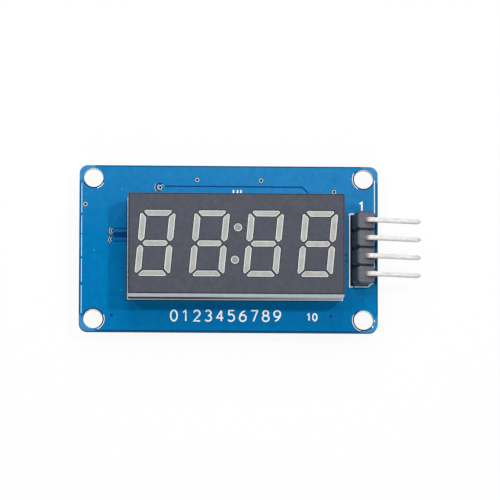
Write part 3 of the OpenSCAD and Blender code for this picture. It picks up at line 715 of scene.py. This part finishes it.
def back_tracks(bm):
    """Copper tracks under the mask, from the chip to the display's pins and from the chip parts to the header."""
    low, high = on_back(TRACK_T)
    pins = sorted(pin_places("display_pin", 12))
    columns = sorted({round(x, 3) for x, y in pins})
    top = max(y for x, y in pins)
    bottom = min(y for x, y in pins)
    middle = (top + bottom) / 2
    rows = sorted(y for x, y, side in lead_places() if side > 0)
    tip = max(x for x, y, side in lead_places())
    for side, end in ((1, top), (-1, bottom)):
        near = sorted((y for y in rows if (y - middle) * side > 0), key=lambda y: abs(y - middle))
        for k, y in enumerate(near):
            if k < 3:
                x = columns[3 - k]
                turn = 0.6
                path = [(tip, y), (x - turn, y), (x, y + side * turn), (x, end)]
            elif k == 3:
                x = columns[0]
                path = [(tip, y), (x - abs(end - y), y), (x, end)]
            else:
                x = columns[4]
                out = end + side * 1.35
                start = tip + 0.3
                path = [
                    (tip, y), (start, y), (start + abs(out - y), out), (x - 1.35, out), (x, end),
                ]
            strip(bm, path, TRACK_W, low, high)
    for x, y in chip_part_places():
        if x > 0:
            target = min((3.81, 1.27, -1.27, -3.81), key=lambda v: abs(v - y))
            start = x + 1.3
            bend = start + 0.8
            strip(bm, [(start, y), (bend, y), (bend + abs(target - y), target), (HEADER_X, target)], TRACK_W, low, high)


piece("front_ink", ink, front_ink)
piece("front_channels", channel, front_channels)
piece("front_via_rings", plating, front_rings)
piece("front_dark_lines_and_painted_shadows", dark_gap_and_painted_shadow, front_dark_lines_and_painted_shadows)
piece("via_plugs", via_shade_plug, dark_plugs)
piece("mask_plugs", channel, mask_plugs)
piece("back_pads", slot_materials["solder"], back_pads)
piece("back_ink", ink, back_ink)
piece("back_tracks", covered_track, back_tracks)


# ---- stage, light and camera ----

def camera_weight(tree):
    """1 for what the camera, a reflection or clear material sees, and 0 for what lights the object."""
    path = tree.nodes.new("ShaderNodeLightPath")
    total = path.outputs["Is Camera Ray"]
    for name in ("Is Glossy Ray", "Is Transmission Ray"):
        add = tree.nodes.new("ShaderNodeMath")
        add.operation = "ADD"
        add.use_clamp = True
        tree.links.new(total, add.inputs[0])
        tree.links.new(path.outputs[name], add.inputs[1])
        total = add.outputs[0]
    return total


FLOOR_HALF = 3
FLOOR_Z = min(cad_box[0].z, 0) - 0.00002
# How much of the floor is plain white to the camera; the rest takes the shadow
FLOOR_WHITE = 0.93

floor_mesh = bpy.data.meshes.new("floor")
floor_mesh.from_pydata(
    [(-FLOOR_HALF, -FLOOR_HALF, FLOOR_Z), (FLOOR_HALF, -FLOOR_HALF, FLOOR_Z),
     (FLOOR_HALF, FLOOR_HALF, FLOOR_Z), (-FLOOR_HALF, FLOOR_HALF, FLOOR_Z)],
    [], [(0, 1, 2, 3)])
floor = bpy.data.objects.new("floor", floor_mesh)
bpy.context.scene.collection.objects.link(floor)
floor_material = bpy.data.materials.new("floor")
floor_material.use_nodes = True
tree = floor_material.node_tree
tree.nodes.clear()
floor_out = tree.nodes.new("ShaderNodeOutputMaterial")
matt = tree.nodes.new("ShaderNodeBsdfDiffuse")
matt.inputs["Color"].default_value = (0.9, 0.9, 0.9, 1)
white = tree.nodes.new("ShaderNodeEmission")
white.inputs["Color"].default_value = (1, 1, 1, 1)
white.inputs["Strength"].default_value = 1.0
share = tree.nodes.new("ShaderNodeMath")
share.operation = "MULTIPLY"
share.inputs[1].default_value = FLOOR_WHITE
tree.links.new(camera_weight(tree), share.inputs[0])
blend = tree.nodes.new("ShaderNodeMixShader")
tree.links.new(share.outputs[0], blend.inputs[0])
tree.links.new(matt.outputs[0], blend.inputs[1])
tree.links.new(white.outputs[0], blend.inputs[2])
# From below, the floor is clear
side = tree.nodes.new("ShaderNodeNewGeometry")
clear = tree.nodes.new("ShaderNodeBsdfTransparent")
one_sided = tree.nodes.new("ShaderNodeMixShader")
tree.links.new(side.outputs["Backfacing"], one_sided.inputs[0])
tree.links.new(blend.outputs[0], one_sided.inputs[1])
tree.links.new(clear.outputs[0], one_sided.inputs[2])
tree.links.new(one_sided.outputs[0], floor_out.inputs["Surface"])
floor_mesh.materials.append(floor_material)

WORLD_LIGHT = 0.28
world = bpy.data.worlds.new("studio")
bpy.context.scene.world = world
world.use_nodes = True
tree = world.node_tree
tree.nodes.clear()
world_out = tree.nodes.new("ShaderNodeOutputWorld")
dim = tree.nodes.new("ShaderNodeBackground")
dim.inputs["Color"].default_value = (1, 1, 1, 1)
dim.inputs["Strength"].default_value = WORLD_LIGHT
bright = tree.nodes.new("ShaderNodeBackground")
bright.inputs["Color"].default_value = (1, 1, 1, 1)
bright.inputs["Strength"].default_value = 1.0
blend = tree.nodes.new("ShaderNodeMixShader")
tree.links.new(camera_weight(tree), blend.inputs[0])
tree.links.new(dim.outputs[0], blend.inputs[1])
tree.links.new(bright.outputs[0], blend.inputs[2])
tree.links.new(blend.outputs[0], world_out.inputs["Surface"])


def soft_box(name, place, size, power):
    """An area lamp that faces the middle of the board. Place and size are in metres."""
    light = bpy.data.lights.new(name, "AREA")
    light.shape = "SQUARE"
    light.size = size
    light.energy = power
    lamp = bpy.data.objects.new(name, light)
    bpy.context.scene.collection.objects.link(lamp)
    x, y, z = place
    towards = Matrix.Translation((x, y, z)).to_translation()
    lamp.location = place
    lamp.rotation_mode = "QUATERNION"
    lamp.rotation_quaternion = towards.to_track_quat("Z", "Y")
    return lamp


soft_box("key", (-0.005, 0.075, 0.1), 0.06, 0.073)
soft_box("right", (0.098, 0.055, 0.275), 0.014, 0.25)
soft_box("left", (-0.11, 0.05, 0.275), 0.018, 0.14)
soft_box("fill", (0.02, -0.3, 0.1), 0.2, 0.5)

# Camera, from the photograph: the board's front face turned by these angles and moved by these
# millimetres in front of a lens that is this far away and gives this many pixels a millimetre
PHOTO_PIXELS = 500
CAMERA_DISTANCE = 700
PIXELS_PER_MM = 7.1142
TURN_X, TURN_Y, TURN_Z = -7.637, 1.877, -0.13
SHIFT_X, SHIFT_Y = -3.009, 0.181
SENSOR_MM = 36

turn = (
    Matrix.Rotation(math.radians(TURN_Z), 3, "Z")
    @ Matrix.Rotation(math.radians(TURN_X), 3, "X")
    @ Matrix.Rotation(math.radians(TURN_Y), 3, "Y")
).transposed()
place = turn @ Matrix.Translation((-SHIFT_X, -SHIFT_Y, CAMERA_DISTANCE)).to_translation()
place.z += FRONT_Z
camera_data = bpy.data.cameras.new("camera")
camera_data.sensor_width = SENSOR_MM
camera_data.lens = SENSOR_MM * CAMERA_DISTANCE * PIXELS_PER_MM / PHOTO_PIXELS
camera = bpy.data.objects.new("camera", camera_data)
bpy.context.scene.collection.objects.link(camera)
camera.matrix_world = Matrix.Translation(place * MM) @ turn.to_4x4()
bpy.context.scene.camera = camera
bpy.context.scene.view_settings.view_transform = "Standard"
